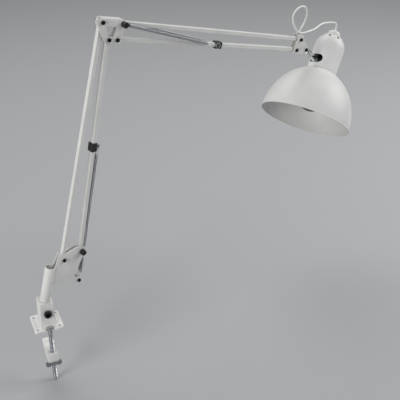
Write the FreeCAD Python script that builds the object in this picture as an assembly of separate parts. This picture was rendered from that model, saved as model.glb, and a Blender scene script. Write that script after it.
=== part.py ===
import FreeCAD, Part
import math
import os

from FreeCAD import Placement, Rotation, Vector

# Swing arm desk lamp on a desk clamp. Millimetres.
# Own frame: origin at the middle of the clamp plate's underside, +X along the desk edge,
# +Y over the desk, +Z up. The lamp itself is drawn in a frame on its leaning post
# (X forward, Y to the far side, Z along the post) and then placed by ARM.

os.makedirs("parts", exist_ok=True)

# Named clearances
RUN_GAP = 0.05        # radial gap of every pivot and sliding fit
SIDE_GAP = 0.1        # end float between a turning part and the part beside it
FREE_GAP = 0.3        # gap between painted faces that pass each other

# Clamp
PLATE_SIZE = 47.0
PLATE_T = 3.5
SCREW_PITCH = 35.0
SCREW_HOLE_R = 2.4
TOWER_FOOT = 28.0
TOWER_WAIST = 25.2
TOWER_TOP_SIZE = 24.0
TOWER_FOOT_Z = 5.5
TOWER_WAIST_Z = 12.0
ROD_X = 1.0
ROD_Y = -20.0
ROD_R = 3.6
ROD_BOTTOM = -102.5
ROD_HEAD_R = 5.5
ROD_HEAD_T = 3.5
JAW_W = 16.4
JAW_OFFSET = 1.2
JAW_TOP = -42.5
JAW_BOTTOM = -61.5
JAW_FRONT = -27.0
JAW_BACK = 17.0

# Leaning post
LEAN = 13.4
SWIVEL = 19.3
POST_FOOT = (3.17, 1.05, 53.8)
POST_DROP = 9.4
POST_R = 8.2
POST_TOP = 53.5
SHEET = 1.2
SPIGOT_R = 4.5
SPIGOT_LEN = 24.0

# Bars and brackets
BAR = 7.0
BAR_WALL = 0.8
BAR_CORNER = 1.2
BAR_END = 4.2
PLATE_GAP = 9.6
PIN_R = 2.0
WASHER_R = 3.7

# Pivots in the lamp's own plane (X, Z)
BASE_L = (20.5, 65.0)
BASE_R = (52.5, 75.5)
SPRING_PEG = (57.0, 20.0)
ELBOW_TL = (17.3, 451.0)
ELBOW_BL = (33.0, 426.0)
ELBOW_BR = (48.0, 426.0)
ELBOW_TR = (54.0, 449.5)
HEAD_T = (455.0, 428.5)
HEAD_BL = (450.5, 409.5)
HEAD_BR = (476.5, 410.3)

# Springs
LOW_OD = 4.3
HIGH_OD = 5.4
SPRING_WIRE = 0.9
LOW_SIDE = 2.4
LOW_PEG = (61.2, 24.0)
LOW_CLIP = (50.4, 258.0)
HIGH_CLIP_X = 252.0
LOW_CLIP_MID = 258.0
LOW_LEADER = 13.0
HIGH_LEADER = 26.0

# Shade joint
LINK_DROP = 26.7
LINK_ROLL = 14.93
LINK_LEN = 52.0
LINK_W = 8.0
LINK_GAP = 4.6
LINK_T = 1.5
SHADE_TURN = 8.5

# Shade, measured along its own axis from the rim
RIM_R = 84.4
DOME_H = 100.5
DOME_TOP = 97.8
SKIN = 0.8
NECK_R = 28.2
NECK_R_TOP = 28.4
NECK_TOP = 153.0
SHOULDER_TOP = 168.0
CAP_R = 12.2
CAP_TOP = 180.5
PIVOT_R = 22.0
PIVOT_S = 108.6
SLOT_LOW = 104.2
SLOT_HIGH = 120.4
SLOT_HALF_ARC = 30.5

# Bulb and its holder
BULB_R = 30.0
BULB_TIP = 18.0
BULB_MID = 48.0
BULB_CAP_R = 13.0
HOLDER_R = 15.4
HOLDER_LOW = 92.0
HOLDER_TOP = 148.0

# Cord
CORD_D = 3.2

ARM = Placement(
    Vector(*POST_FOOT),
    Rotation(Vector(0, 1, 0), LEAN).multiply(Rotation(Vector(0, 0, 1), SWIVEL)),
)
LINK = ARM.multiply(
    Placement(
        Vector(HEAD_BR[0], 0, HEAD_BR[1]),
        Rotation(Vector(0, 1, 0), LINK_DROP).multiply(Rotation(Vector(1, 0, 0), -LINK_ROLL)),
    )
)
SHADE_SPIN = Rotation(Vector(0, 0, 1), 180.0 - SHADE_TURN)
SHADE = LINK.multiply(
    Placement(
        Vector(LINK_LEN, 0, 0) - SHADE_SPIN.multVec(Vector(PIVOT_R, 0, PIVOT_S)),
        SHADE_SPIN,
    )
)
WORLD = Placement()
HALF_GAP = PLATE_GAP / 2
OUTER = HALF_GAP + SHEET


def write(node, solids, frame=WORLD):
    placed = []
    for solid in solids:
        copy = solid.copy()
        copy.Placement = frame.multiply(copy.Placement)
        placed.append(copy)
    shape = placed[0] if len(placed) == 1 else Part.makeCompound(placed)
    shape.exportStep("parts/" + node + ".step")


def box(x0, x1, y0, y1, z0, z1):
    return Part.makeBox(x1 - x0, y1 - y0, z1 - z0, Vector(x0, y0, z0))


def rod(radius, start, end):
    a = Vector(*start)
    b = Vector(*end)
    return Part.makeCylinder(radius, (b - a).Length, a, b - a)


def cross_pin(radius, point, y0, y1):
    return rod(radius, (point[0], y0, point[1]), (point[0], y1, point[1]))


def slab(points, y0, y1, corner=0.0):
    corners = [Vector(x, y0, z) for x, z in points]
    solid = Part.Face(Part.makePolygon(corners + corners[:1])).extrude(Vector(0, y1 - y0, 0))
    if corner:
        edges = [e for e in solid.Edges if abs(e.tangentAt(e.FirstParameter).y) > 0.99]
        solid = solid.makeFillet(corner, edges)
    return solid


def ring(outer, inner, z0, z1):
    whole = Part.makeCylinder(outer, z1 - z0, Vector(0, 0, z0))
    return whole.cut(Part.makeCylinder(inner, z1 - z0, Vector(0, 0, z0)))


def turned(points):
    corners = [Vector(r, 0, z) for r, z in points]
    face = Part.Face(Part.makePolygon(corners + corners[:1]))
    return face.revolve(Vector(0, 0, 0), Vector(0, 0, 1), 360)


def rounded_rectangle(size_x, size_y, corner, frame):
    hx = size_x / 2
    hy = size_y / 2
    flat = box(-hx, hx, -hy, hy, 0, 1)
    flat = flat.makeFillet(corner, [e for e in flat.Edges if abs(e.tangentAt(e.FirstParameter).z) > 0.99])
    face = min(flat.Faces, key=lambda f: f.CenterOfMass.z)
    wire = face.OuterWire.copy()
    wire.Placement = frame
    return wire


def washers(points, inner_r):
    solids = []
    for point in points:
        for y0, y1 in ((-HALF_GAP, -BAR / 2 - SIDE_GAP), (BAR / 2 + SIDE_GAP, HALF_GAP)):
            disc = cross_pin(WASHER_R, point, y0, y1)
            solids.append(disc.cut(cross_pin(inner_r, point, y0, y1)))
    return solids


SCREW_HEAD_R = 3.0


def screw(point):
    shank = cross_pin(PIN_R, point, -OUTER, OUTER + 4.0)
    head = cross_pin(SCREW_HEAD_R, point, -OUTER - 2.0, -OUTER)
    recess = cross_pin(1.5, point, -OUTER - 2.0, -OUTER - 0.9)
    return head.fuse(shank).cut(recess).removeSplitter()


def hex_nut(point, y0, width, height, bore):
    across = width / math.cos(math.pi / 6) / 2
    corners = []
    for i in range(6):
        angle = math.radians(60 * i)
        corners.append((point[0] + across * math.cos(angle), point[1] + across * math.sin(angle)))
    return slab(corners, y0, y0 + height).cut(cross_pin(bore, point, y0, y0 + height))


def lock_nuts(points):
    return [hex_nut(point, OUTER, 7.0, 3.2, PIN_R) for point in points]


# The clamp is one casting: a screw plate with a short leaning tower for the post.
top_frame = Placement(Vector(*POST_FOOT), Rotation(Vector(0, 1, 0), LEAN)).multiply(
    Placement(Vector(0, 0, -POST_DROP), Rotation())
)
foot_x = 0.9
base_wire = rounded_rectangle(TOWER_FOOT, TOWER_FOOT - 2, 2.0, Placement(Vector(foot_x, 0.8, PLATE_T - 0.5), Rotation()))
foot_wire = rounded_rectangle(TOWER_FOOT, TOWER_FOOT - 2, 2.0, Placement(Vector(foot_x, 0.8, TOWER_FOOT_Z), Rotation()))
waist_wire = rounded_rectangle(TOWER_WAIST, TOWER_WAIST, 2.0, Placement(Vector(foot_x, 0.8, TOWER_WAIST_Z), Rotation()))
top_wire = rounded_rectangle(TOWER_TOP_SIZE, TOWER_TOP_SIZE, 2.0, top_frame)
tower = Part.makeLoft([base_wire, foot_wire], True, True)
tower = tower.fuse(Part.makeLoft([foot_wire, waist_wire], True, True))
tower = tower.fuse(Part.makeLoft([waist_wire, top_wire], True, True))
half = PLATE_SIZE / 2
plate = box(-half, half, -half, half, 0, PLATE_T)
upright = [e for e in plate.Edges if abs(e.tangentAt(e.FirstParameter).z) > 0.99]
casting = plate.makeFillet(3.0, upright).fuse(tower).removeSplitter()
for sx in (-1, 1):
    for sy in (-1, 1):
        x = sx * SCREW_PITCH / 2
        y = sy * SCREW_PITCH / 2
        casting = casting.cut(rod(SCREW_HOLE_R, (x, y, -1), (x, y, PLATE_T + 1)))
HEAD_SEAT = 1.5
slot_r = ROD_R + 0.2
casting = casting.cut(rod(slot_r, (ROD_X, ROD_Y, -1), (ROD_X, ROD_Y, PLATE_T + 1)))
casting = casting.cut(box(ROD_X - slot_r, ROD_X + slot_r, -half - 1, ROD_Y, -1, PLATE_T + 1))
seat_r = ROD_HEAD_R + FREE_GAP
casting = casting.cut(rod(seat_r, (ROD_X, ROD_Y, HEAD_SEAT), (ROD_X, ROD_Y, HEAD_SEAT + 6)))
casting = casting.cut(box(ROD_X - seat_r, ROD_X + seat_r, -half - 1, ROD_Y, HEAD_SEAT, HEAD_SEAT + 6))
bore = Part.makeCylinder(SPIGOT_R + RUN_GAP, SPIGOT_LEN + 1.5, Vector(0, 0, -SPIGOT_LEN - 0.5))
bore.Placement = top_frame
casting = casting.cut(bore)
LOCK_X = 1.2
LOCK_Z = 27.6
LOCK_R = 3.0
LOCK_FACE = -12.0
LOCK_TIP = -3.7
casting = casting.cut(rod(LOCK_R + RUN_GAP, (LOCK_X, -20, LOCK_Z), (LOCK_X, LOCK_TIP + 1.0, LOCK_Z)))
write("clamp_casting", [casting])

# Clamp screw rod with its round head seated in the plate's notch.
clamp_rod = rod(ROD_R, (ROD_X, ROD_Y, ROD_BOTTOM), (ROD_X, ROD_Y, HEAD_SEAT))
clamp_rod = clamp_rod.fuse(rod(ROD_HEAD_R, (ROD_X, ROD_Y, HEAD_SEAT), (ROD_X, ROD_Y, HEAD_SEAT + ROD_HEAD_T)))
write("clamp_rod", [clamp_rod.removeSplitter()])

# Moving jaw: a bar with a raised back edge and an eye around the rod.
jaw_x0 = ROD_X - JAW_W / 2 - JAW_OFFSET
jaw_profile = [
    (JAW_FRONT, JAW_BOTTOM), (JAW_FRONT, -46.1), (-11.0, -46.1), (8.0, -47.5),
    (12.5, JAW_TOP), (JAW_BACK, JAW_TOP), (JAW_BACK, -51.0), (-6.0, JAW_BOTTOM),
]
corners = [Vector(jaw_x0, y, z) for y, z in jaw_profile]
jaw = Part.Face(Part.makePolygon(corners + corners[:1])).extrude(Vector(JAW_W, 0, 0))
jaw = jaw.fuse(rod(8.6, (ROD_X, ROD_Y, JAW_BOTTOM), (ROD_X, ROD_Y, -45.0)))
jaw = jaw.cut(box(ROD_X - 20, ROD_X + 20, JAW_FRONT - 20, JAW_FRONT, -80, -40))
jaw = jaw.cut(rod(ROD_R + RUN_GAP, (ROD_X, ROD_Y, -80), (ROD_X, ROD_Y, -30)))
write("clamp_jaw", [jaw.removeSplitter()])

# Wing nut under the jaw.
NUT_TOP = JAW_BOTTOM - 0.1
nut = rod(6.6, (ROD_X, ROD_Y, NUT_TOP - 8.0), (ROD_X, ROD_Y, NUT_TOP))
nut = nut.fuse(rod(8.0, (ROD_X, ROD_Y, NUT_TOP - 1.5), (ROD_X, ROD_Y, NUT_TOP)))
for side in (-1, 1):
    wing = rod(5.0, (ROD_X + side * 8.5, ROD_Y - 1.3, NUT_TOP - 8.0), (ROD_X + side * 8.5, ROD_Y + 1.3, NUT_TOP - 8.0))
    nut = nut.fuse(wing)
nut = nut.cut(rod(ROD_R + RUN_GAP, (ROD_X, ROD_Y, NUT_TOP - 20), (ROD_X, ROD_Y, NUT_TOP + 1)))
write("clamp_nut", [nut.removeSplitter()])

# Lock screw with its round knob on the front of the tower.
write("lock_screw", [rod(LOCK_R, (LOCK_X, LOCK_FACE - 4.5, LOCK_Z), (LOCK_X, LOCK_TIP, LOCK_Z))])
knob = rod(6.2, (LOCK_X, LOCK_FACE - 6.0, LOCK_Z), (LOCK_X, LOCK_FACE - 0.8, LOCK_Z))
knob = knob.cut(rod(LOCK_R, (LOCK_X, LOCK_FACE - 4.5, LOCK_Z), (LOCK_X, LOCK_FACE, LOCK_Z)))
write("lock_knob", [knob])

# Base bracket: one sheet folded round the post, its two wings carrying the bar pivots.
wing_outline = [
    (9.7, 79.3), (21.8, 76.6), (41.1, 85.4), (56.6, 83.5), (58.6, 70.5),
    (45.5, 33.8), (48.4, 27.4), (60.0, 24.5), (60.0, 16.6), (5.2, 24.1), (5.2, 52.0),
]
far_wing_outline = [
    (14.6, 75.6), (22.4, 73.4), (42.0, 81.4), (56.4, 80.6), (58.4, 70.5),
    (45.5, 33.8), (48.4, 27.4), (60.0, 24.5), (60.0, 16.6), (5.2, 24.1), (5.2, 40.0),
]
tube_z0 = -POST_DROP + 0.3
bracket = Part.makeCylinder(POST_R, POST_TOP - tube_z0, Vector(0, 0, tube_z0))
for outline, y0 in ((wing_outline, -OUTER), (far_wing_outline, HALF_GAP)):
    bracket = bracket.fuse(slab(outline, y0, y0 + SHEET, 1.0))
bracket = bracket.cut(Part.makeCylinder(POST_R - SHEET, 80, Vector(0, 0, -20)))
bracket = bracket.cut(box(2, 12, -HALF_GAP, HALF_GAP, 27, 60))
for point in (BASE_L, BASE_R, SPRING_PEG):
    bracket = bracket.cut(cross_pin(PIN_R + RUN_GAP, point, -20, 20))
write("base_bracket", [bracket], ARM)

# Post plug pressed in the folded tube, with the spigot that turns in the tower.
plug = Part.makeCylinder(POST_R - SHEET, 24, Vector(0, 0, -POST_DROP + SIDE_GAP))
plug = plug.fuse(Part.makeCylinder(SPIGOT_R, SPIGOT_LEN, Vector(0, 0, -POST_DROP - SPIGOT_LEN)))
plug = plug.fuse(Part.makeCylinder(SPIGOT_R, 1.0, Vector(0, 0, -POST_DROP)))
write("post_pin", [plug.removeSplitter()], ARM)
write("base_screws", [screw(BASE_L), screw(SPRING_PEG)], ARM)
write("base_nuts", lock_nuts([BASE_L, SPRING_PEG]), ARM)
write("base_washers", washers([BASE_L, BASE_R], PIN_R), ARM)


def friction_bolt(point):
    shank = cross_pin(PIN_R, point, -OUTER - 5.0, OUTER)
    head = hex_nut(point, OUTER, 7.0, 2.8, 0.5).fuse(cross_pin(0.6, point, OUTER, OUTER + 2.8))
    return shank.fuse(head).removeSplitter()


def friction_knob(point):
    body = cross_pin(4.6, point, -OUTER - 7.0, -OUTER - SIDE_GAP)
    return body.cut(cross_pin(PIN_R + RUN_GAP, point, -OUTER - 5.4, -OUTER))


write("base_bolt", [friction_bolt(BASE_R)], ARM)
write("base_knob", [friction_knob(BASE_R)], ARM)


def bar_between(start, end, slot=None, slot_r=0.0):
    length = math.hypot(end[0] - start[0], end[1] - start[1])
    angle = math.degrees(math.atan2(end[1] - start[1], end[0] - start[0]))
    h = BAR / 2
    body = box(-BAR_END, length + BAR_END, -h, h, -h, h)
    body = body.makeFillet(BAR_CORNER, [e for e in body.Edges if abs(e.tangentAt(e.FirstParameter).x) > 0.99])
    middle = BAR_END - h
    limit = box(-middle, length + middle, -h, h, -h, h)
    limit = limit.fuse(cross_pin(h, (-middle, 0), -h, h)).fuse(cross_pin(h, (length + middle, 0), -h, h))
    body = body.common(limit)
    q = h - BAR_WALL
    body = body.cut(box(-20, length + 20, -q, q, -q, q))
    body = body.cut(cross_pin(PIN_R + RUN_GAP, (0, 0), -10, 10))
    if slot:
        inner = length - slot[0] + slot_r
        outer = length + slot[1] - slot_r
        if outer > inner:
            body = body.cut(box(inner, outer, -10, 10, -slot_r, slot_r))
        body = body.cut(cross_pin(slot_r, (inner, 0), -10, 10))
        body = body.cut(cross_pin(slot_r, (outer, 0), -10, 10))
    else:
        body = body.cut(cross_pin(PIN_R + RUN_GAP, (length, 0), -10, 10))
    body = body.removeSplitter()
    body.Placement = Placement(Vector(start[0], 0, start[1]), Rotation(Vector(0, 1, 0), -angle))
    return body


# Four square steel bars make the two parallel arms. The two slotted ends take up the
# small change of length that the unequal links need as the arm folds.
write("lower_outer_bar", [bar_between(BASE_L, ELBOW_TL)], ARM)
write("lower_inner_bar", [bar_between(BASE_R, ELBOW_BL, (4.5, 2.6), 2.5)], ARM)
write("upper_top_bar", [bar_between(ELBOW_TR, HEAD_T)], ARM)
write("upper_bottom_bar", [bar_between(ELBOW_BR, HEAD_BL, (2.9, 2.9), 2.65)], ARM)

# Elbow bracket: two plates joined by a fold along their top edge, with a window.
elbow_outline = [
    (4.8, 453.2), (8.8, 457.0), (54.0, 455.7), (56.6, 444.1), (54.6, 421.4),
    (27.7, 421.6), (23.8, 425.2), (8.4, 447.0),
]
elbow_window = [(22.2, 446.6), (44.2, 444.8), (40.6, 430.8), (31.2, 431.1)]
elbow_far_outline = [
    (12.8, 454.6), (16.6, 457.0), (54.0, 455.7), (56.6, 444.1), (53.4, 421.6),
    (28.9, 421.6), (13.0, 448.2),
]
elbow_far_window = [(23.0, 449.4), (48.6, 448.4), (43.2, 430.4), (34.0, 430.6)]
elbow_fold = [(17.6, 457.0), (53.0, 455.7), (53.0, 454.5), (17.6, 455.8)]
elbow = slab(elbow_fold, -OUTER, OUTER)
elbow = elbow.fuse(slab(elbow_outline, -OUTER, -HALF_GAP, 1.2).cut(slab(elbow_window, -20, 20, 1.0)))
elbow = elbow.fuse(slab(elbow_far_outline, HALF_GAP, OUTER, 1.2).cut(slab(elbow_far_window, -20, 20, 1.0)))
for point in (ELBOW_TL, ELBOW_BL, ELBOW_BR, ELBOW_TR):
    elbow = elbow.cut(cross_pin(PIN_R + RUN_GAP, point, -20, 20))
write("elbow_bracket", [elbow.removeSplitter()], ARM)
write("elbow_screws", [screw(ELBOW_TL), screw(ELBOW_BL), screw(ELBOW_BR)], ARM)
write("elbow_nuts", lock_nuts([ELBOW_TL, ELBOW_BL, ELBOW_BR]), ARM)
write("elbow_washers", washers([ELBOW_TL, ELBOW_BL, ELBOW_BR], PIN_R), ARM)
write("elbow_bolt", [friction_bolt(ELBOW_TR)], ARM)
write("elbow_knob", [friction_knob(ELBOW_TR)], ARM)

# Head bracket: two three-cornered plates joined by a short fold at the top.
head_outline = [
    (443.1, 402.6), (446.6, 437.5), (455.4, 437.5), (481.9, 411.8), (479.0, 402.4), (470.0, 401.6),
]
WEB = (448.5, 455.0, 436.2, 437.5)
GROMMET_X = 451.6
head = box(WEB[0], WEB[1], -OUTER, OUTER, WEB[2], WEB[3])
for y0 in (-OUTER, HALF_GAP):
    head = head.fuse(slab(head_outline, y0, y0 + SHEET, 1.6))
for point in (HEAD_T, HEAD_BL, HEAD_BR):
    head = head.cut(cross_pin(PIN_R + RUN_GAP, point, -20, 20))
head = head.cut(rod(2.4, (GROMMET_X, 0, 430), (GROMMET_X, 0, 440)))
write("head_bracket", [head.removeSplitter()], ARM)
write("head_screws", [screw(HEAD_T), screw(HEAD_BL), screw(HEAD_BR)], ARM)
write("head_nuts", lock_nuts([HEAD_T, HEAD_BL, HEAD_BR]), ARM)
write("head_washers", washers([HEAD_T, HEAD_BL, HEAD_BR], PIN_R), ARM)
grommet = ring(2.4, CORD_D / 2, WEB[2], WEB[3]).fuse(ring(3.0, CORD_D / 2, WEB[3], WEB[3] + 0.7))
grommet.Placement = Placement(Vector(GROMMET_X, 0, 0), Rotation())
write("cord_grommet", [grommet.removeSplitter()], ARM)


# Springs: closely wound coils side by side, each with a straight leader at both ends.
def along(start, end, distance):
    length = math.hypot(end[0] - start[0], end[1] - start[1])
    f = distance / length
    return (start[0] + (end[0] - start[0]) * f, start[1] + (end[1] - start[1]) * f)


def coil_pair(start, end, diameter, spread):
    solids = []
    for side in (-1, 1):
        a = (start[0], side * spread, start[1])
        b = (end[0], side * spread, end[1])
        solids.append(rod(diameter / 2, a, b).cut(rod(diameter / 2 - SPRING_WIRE, a, b)))
    return solids


def oblong(radius, room, w):
    solid = cross_pin(radius, (-room, 0), -w, w)
    if room:
        solid = solid.fuse(cross_pin(radius, (room, 0), -w, w)).fuse(box(-room, room, -w, w, -radius, radius))
    return solid


def hook(peg, y_peg, shoulder, y_coil, peg_r, room, play=0.15):
    # An oblong eye round the peg, carried by a wire to the end of the coil.
    w = SPRING_WIRE / 2
    direction = Vector(shoulder[0] - peg[0], 0, shoulder[1] - peg[1])
    angle = math.degrees(math.atan2(direction.z, direction.x))
    hole = peg_r + play
    out = hole + 2 * w
    flat = 0.9 * w
    eye = oblong(out, room, flat).cut(oblong(hole, room, flat))
    eye.Placement = Placement(Vector(peg[0], y_peg, peg[1]), Rotation(Vector(0, 1, 0), -angle))
    unit = direction.normalize()
    start = Vector(peg[0], y_peg, peg[1]) + unit * (room + hole + 0.6 * w)
    stem_end = Vector(shoulder[0], y_coil, shoulder[1])
    stem = Part.makeCylinder(w, (stem_end - start).Length, start, stem_end - start)
    return eye.fuse(stem)


LOW_CLIP_FRONT = 1.1
CLIP_PEG_R = 1.3
LOW_PEG_R = 0.9
low_start = along(LOW_PEG, LOW_CLIP, 9.0)
low_end = along(LOW_CLIP, LOW_PEG, LOW_LEADER)
write("lower_springs", coil_pair(low_start, low_end, LOW_OD, LOW_SIDE), ARM)
low_hooks = [hook(SPRING_PEG, s * LOW_SIDE, low_start, s * LOW_SIDE, PIN_R, 0.0) for s in (-1, 1)]
write("lower_spring_hooks", low_hooks, ARM)
low_eyes = [hook(LOW_CLIP, s * LOW_SIDE, low_end, s * LOW_SIDE, LOW_PEG_R, 1.7, 0.5) for s in (-1, 1)]
write("lower_spring_eyes", low_eyes, ARM)

# The upper pair runs on both sides of the top bar, hooked on the elbow bolt beside it.
high_slope = (HEAD_BL[1] - ELBOW_BR[1]) / (HEAD_BL[0] - ELBOW_BR[0])
HIGH_CLIP = (HIGH_CLIP_X, ELBOW_BR[1] + high_slope * (HIGH_CLIP_X - ELBOW_BR[0]))
HIGH_SIDE = BAR / 2 + 0.4 + HIGH_OD / 2
SIDE_HOOK = BAR / 2 + 0.65
high_start = along(ELBOW_TR, HIGH_CLIP, 10.0)
high_end = along(HIGH_CLIP, ELBOW_TR, HIGH_LEADER)
write("upper_springs", coil_pair(high_start, high_end, HIGH_OD, HIGH_SIDE), ARM)
high_hooks = [hook(ELBOW_TR, s * SIDE_HOOK, high_start, s * HIGH_SIDE, PIN_R, 0.0) for s in (-1, 1)]
write("upper_spring_hooks", high_hooks, ARM)
high_eyes = [hook(HIGH_CLIP, s * HIGH_SIDE, high_end, s * HIGH_SIDE, CLIP_PEG_R, 0.6, 2.0) for s in (-1, 1)]
write("upper_spring_eyes", high_eyes, ARM)


def clip_block(start, end, distance, front):
    angle = math.degrees(math.atan2(end[1] - start[1], end[0] - start[0]))
    middle = along(start, end, distance)
    h = BAR / 2
    block = box(-7, 7, -h - 2, h + 2, -h - front, h + 2)
    block = block.makeFillet(1.0, block.Edges)
    block = block.cut(box(-20, 20, -h, h, -h, h))
    return block, Placement(Vector(middle[0], 0, middle[1]), Rotation(Vector(0, 1, 0), -angle))


# Moulded spring clips on the bars. The lower one holds its peg on a lug in front of the
# bar, the upper one carries a stub on each side.
block, local = clip_block(BASE_R, ELBOW_BL, LOW_CLIP_MID - BASE_R[1], LOW_CLIP_FRONT)
centre = local.inverse().multVec(Vector(LOW_CLIP[0], 0, LOW_CLIP[1]))
lug = box(centre.x - 2.6, centre.x + 2.6, -0.9, 0.9, centre.z - 2.6, -BAR / 2)
block = block.fuse(lug).cut(cross_pin(LOW_PEG_R, (centre.x, centre.z), -10, 10)).removeSplitter()
block.Placement = local
write("lower_spring_clip", [block], ARM)
write("lower_clip_peg", [cross_pin(LOW_PEG_R, LOW_CLIP, -4.4, 4.4)], ARM)
clip_run = math.hypot(HIGH_CLIP[0] - ELBOW_BR[0], HIGH_CLIP[1] - ELBOW_BR[1])
block, local = clip_block(ELBOW_BR, HEAD_BL, clip_run + 3.0, 2.0)
block.Placement = local
write("upper_spring_clip", [block], ARM)
stub_root = BAR / 2 + 2.0
stubs = [cross_pin(CLIP_PEG_R, HIGH_CLIP, s * stub_root, s * (HIGH_SIDE + 1.8)) for s in (-1, 1)]
write("upper_clip_pegs", stubs, ARM)

# Knuckle: an eye on the head bracket's front bolt with a stem the link turns on.
eye_half = BAR / 2
knuckle = rod(5.4, (0, -eye_half, 0), (0, eye_half, 0))
STEM_R = 2.6
STEM_SHOULDER = 11.0
STEM_END = 15.6
FLAT = Placement(Vector(HEAD_BR[0], 0, HEAD_BR[1]), Rotation(Vector(0, 1, 0), LINK_DROP))
knuckle = knuckle.fuse(rod(3.4, (0, 0, 0), (STEM_SHOULDER, 0, 0)))
knuckle = knuckle.fuse(rod(STEM_R, (0, 0, 0), (STEM_END - 1.2, 0, 0)))
knuckle = knuckle.cut(rod(PIN_R + RUN_GAP, (0, -10, 0), (0, 10, 0)))
LINK_BACK = STEM_SHOULDER + SIDE_GAP
rivet = rod(STEM_R, (STEM_END - 1.2, 0, 0), (STEM_END - 1.0, 0, 0))
knuckle = knuckle.fuse(rod(3.1, (LINK_BACK + 1.8 + SIDE_GAP, 0, 0), (LINK_BACK + 3.0 + SIDE_GAP, 0, 0)))
knuckle_body = knuckle.removeSplitter()
knuckle_body.Placement = FLAT
write("knuckle_eye", [knuckle_body], ARM)

# Link: a strap bent into a fork. Its closed end turns on the knuckle's stem, and its two
# leaves hold the shade's swivel pin above and below the neck bracket.
half_link = LINK_GAP / 2 + LINK_T
half_w = LINK_W / 2
fork = box(LINK_BACK, LINK_LEN, -half_w, half_w, -half_link, half_link)
fork = fork.fuse(rod(half_w, (LINK_LEN, 0, -half_link), (LINK_LEN, 0, half_link)))
inner = LINK_GAP / 2
fork = fork.cut(box(LINK_BACK + 1.8, LINK_LEN + 10, -10, 10, -inner, inner))
fork = fork.cut(rod(STEM_R + RUN_GAP, (0, 0, 0), (LINK_BACK + 5, 0, 0)))
fork = fork.cut(rod(3.1 + FREE_GAP, (LINK_BACK + 1.8, 0, 0), (LINK_BACK + 3.6, 0, 0)))
LINK_PIN_R = 1.6
fork = fork.cut(rod(LINK_PIN_R, (LINK_LEN, 0, -20), (LINK_LEN, 0, 20)))
write("shade_link", [fork.removeSplitter()], LINK)
pin = rod(LINK_PIN_R, (LINK_LEN, 0, -half_link), (LINK_LEN, 0, half_link))
pin = pin.fuse(rod(2.6, (LINK_LEN, 0, half_link), (LINK_LEN, 0, half_link + 1.2)))
write("swivel_pin", [pin.removeSplitter()], LINK)


# Shade: a domed reflector and a slotted neck, both thin spun sheet.
def dome_radius(s):
    return RIM_R * math.sqrt(1.0 - (s / DOME_H) ** 2)


def dome_profile(offset, steps):
    top = DOME_H * math.sqrt(1.0 - ((NECK_R + 2.0) / RIM_R) ** 2)
    top_angle = math.asin(top / DOME_H)
    points = []
    for i in range(steps + 1):
        angle = top_angle * i / steps
        r = (RIM_R - offset) * math.cos(angle)
        z = (DOME_H - offset) * math.sin(angle)
        points.append((r, z))
    return points


outer_line = dome_profile(0.0, 12)
inner_line = dome_profile(SKIN, 12)


def spline_edge(points):
    curve = Part.BSplineCurve()
    curve.interpolate([Vector(r, 0, z) for r, z in points])
    return curve.toShape()


def line_edge(a, b):
    return Part.makeLine(Vector(a[0], 0, a[1]), Vector(b[0], 0, b[1]))


def spin(edges):
    face = Part.Face(Part.Wire(Part.__sortEdges__(edges)))
    return face.revolve(Vector(0, 0, 0), Vector(0, 0, 1), 360)


TOP_Z = outer_line[-1][1]
inner_top = inner_line[-1]
collar = (NECK_R + 0.1, TOP_Z)
dome = spin([
    line_edge(inner_line[0], outer_line[0]), spline_edge(outer_line),
    line_edge(outer_line[-1], (NECK_R + 0.1, TOP_Z + 0.4)),
    line_edge((NECK_R + 0.1, TOP_Z + 0.4), (NECK_R + 0.1, inner_top[1] - 0.2)),
    line_edge((NECK_R + 0.1, inner_top[1] - 0.2), inner_top), spline_edge(inner_line),
])
bead = Part.makeTorus(RIM_R - 0.2, 1.0, Vector(0, 0, 0.4))
dome = dome.fuse(bead).removeSplitter()
write("shade_dome", [dome], SHADE)

NECK_FOOT = TOP_Z - 3.0
neck_line = [
    (NECK_R + 0.1, NECK_FOOT), (NECK_R, SLOT_LOW), (NECK_R, SLOT_HIGH + 4), (NECK_R_TOP, NECK_TOP - 8),
    (NECK_R_TOP - 1.6, NECK_TOP), (NECK_R_TOP - 5.6, SHOULDER_TOP - 7.6), (CAP_R + 5.6, SHOULDER_TOP - 1.8),
    (CAP_R + 1.0, SHOULDER_TOP),
]
neck_inner = [(r - SKIN, z) for r, z in neck_line[:5]]
neck_inner += [(r - 0.7 * SKIN, z - 0.7 * SKIN) for r, z in neck_line[5:7]]
neck_inner += [(CAP_R + 1.0, SHOULDER_TOP - SKIN)]
CAP_HOLE_R = 5.0
neck = spin([
    spline_edge(neck_line), line_edge(neck_line[-1], (CAP_HOLE_R, SHOULDER_TOP)),
    line_edge((CAP_HOLE_R, SHOULDER_TOP), (CAP_HOLE_R, SHOULDER_TOP - SKIN)),
    line_edge((CAP_HOLE_R, SHOULDER_TOP - SKIN), neck_inner[-1]), spline_edge(neck_inner),
    line_edge(neck_inner[0], neck_line[0]),
])
slot_mid = (SLOT_LOW + SLOT_HIGH) / 2
slot_r = (SLOT_HIGH - SLOT_LOW) / 2
straight_half = SLOT_HALF_ARC - math.degrees(slot_r / NECK_R)
arc_cut = Part.makeCylinder(40, SLOT_HIGH - SLOT_LOW, Vector(0, 0, SLOT_LOW), Vector(0, 0, 1), 2 * straight_half)
arc_cut.Placement = Placement(Vector(0, 0, 0), Rotation(Vector(0, 0, 1), -straight_half)).multiply(arc_cut.Placement)
neck = neck.cut(arc_cut)
for side in (-1, 1):
    a = math.radians(side * straight_half)
    neck = neck.cut(rod(slot_r, (0, 0, slot_mid), (40 * math.cos(a), 40 * math.sin(a), slot_mid)))
VENT_COUNT = 8
VENT_R = 2.5
VENT_Z = SHOULDER_TOP - 4.6
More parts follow.
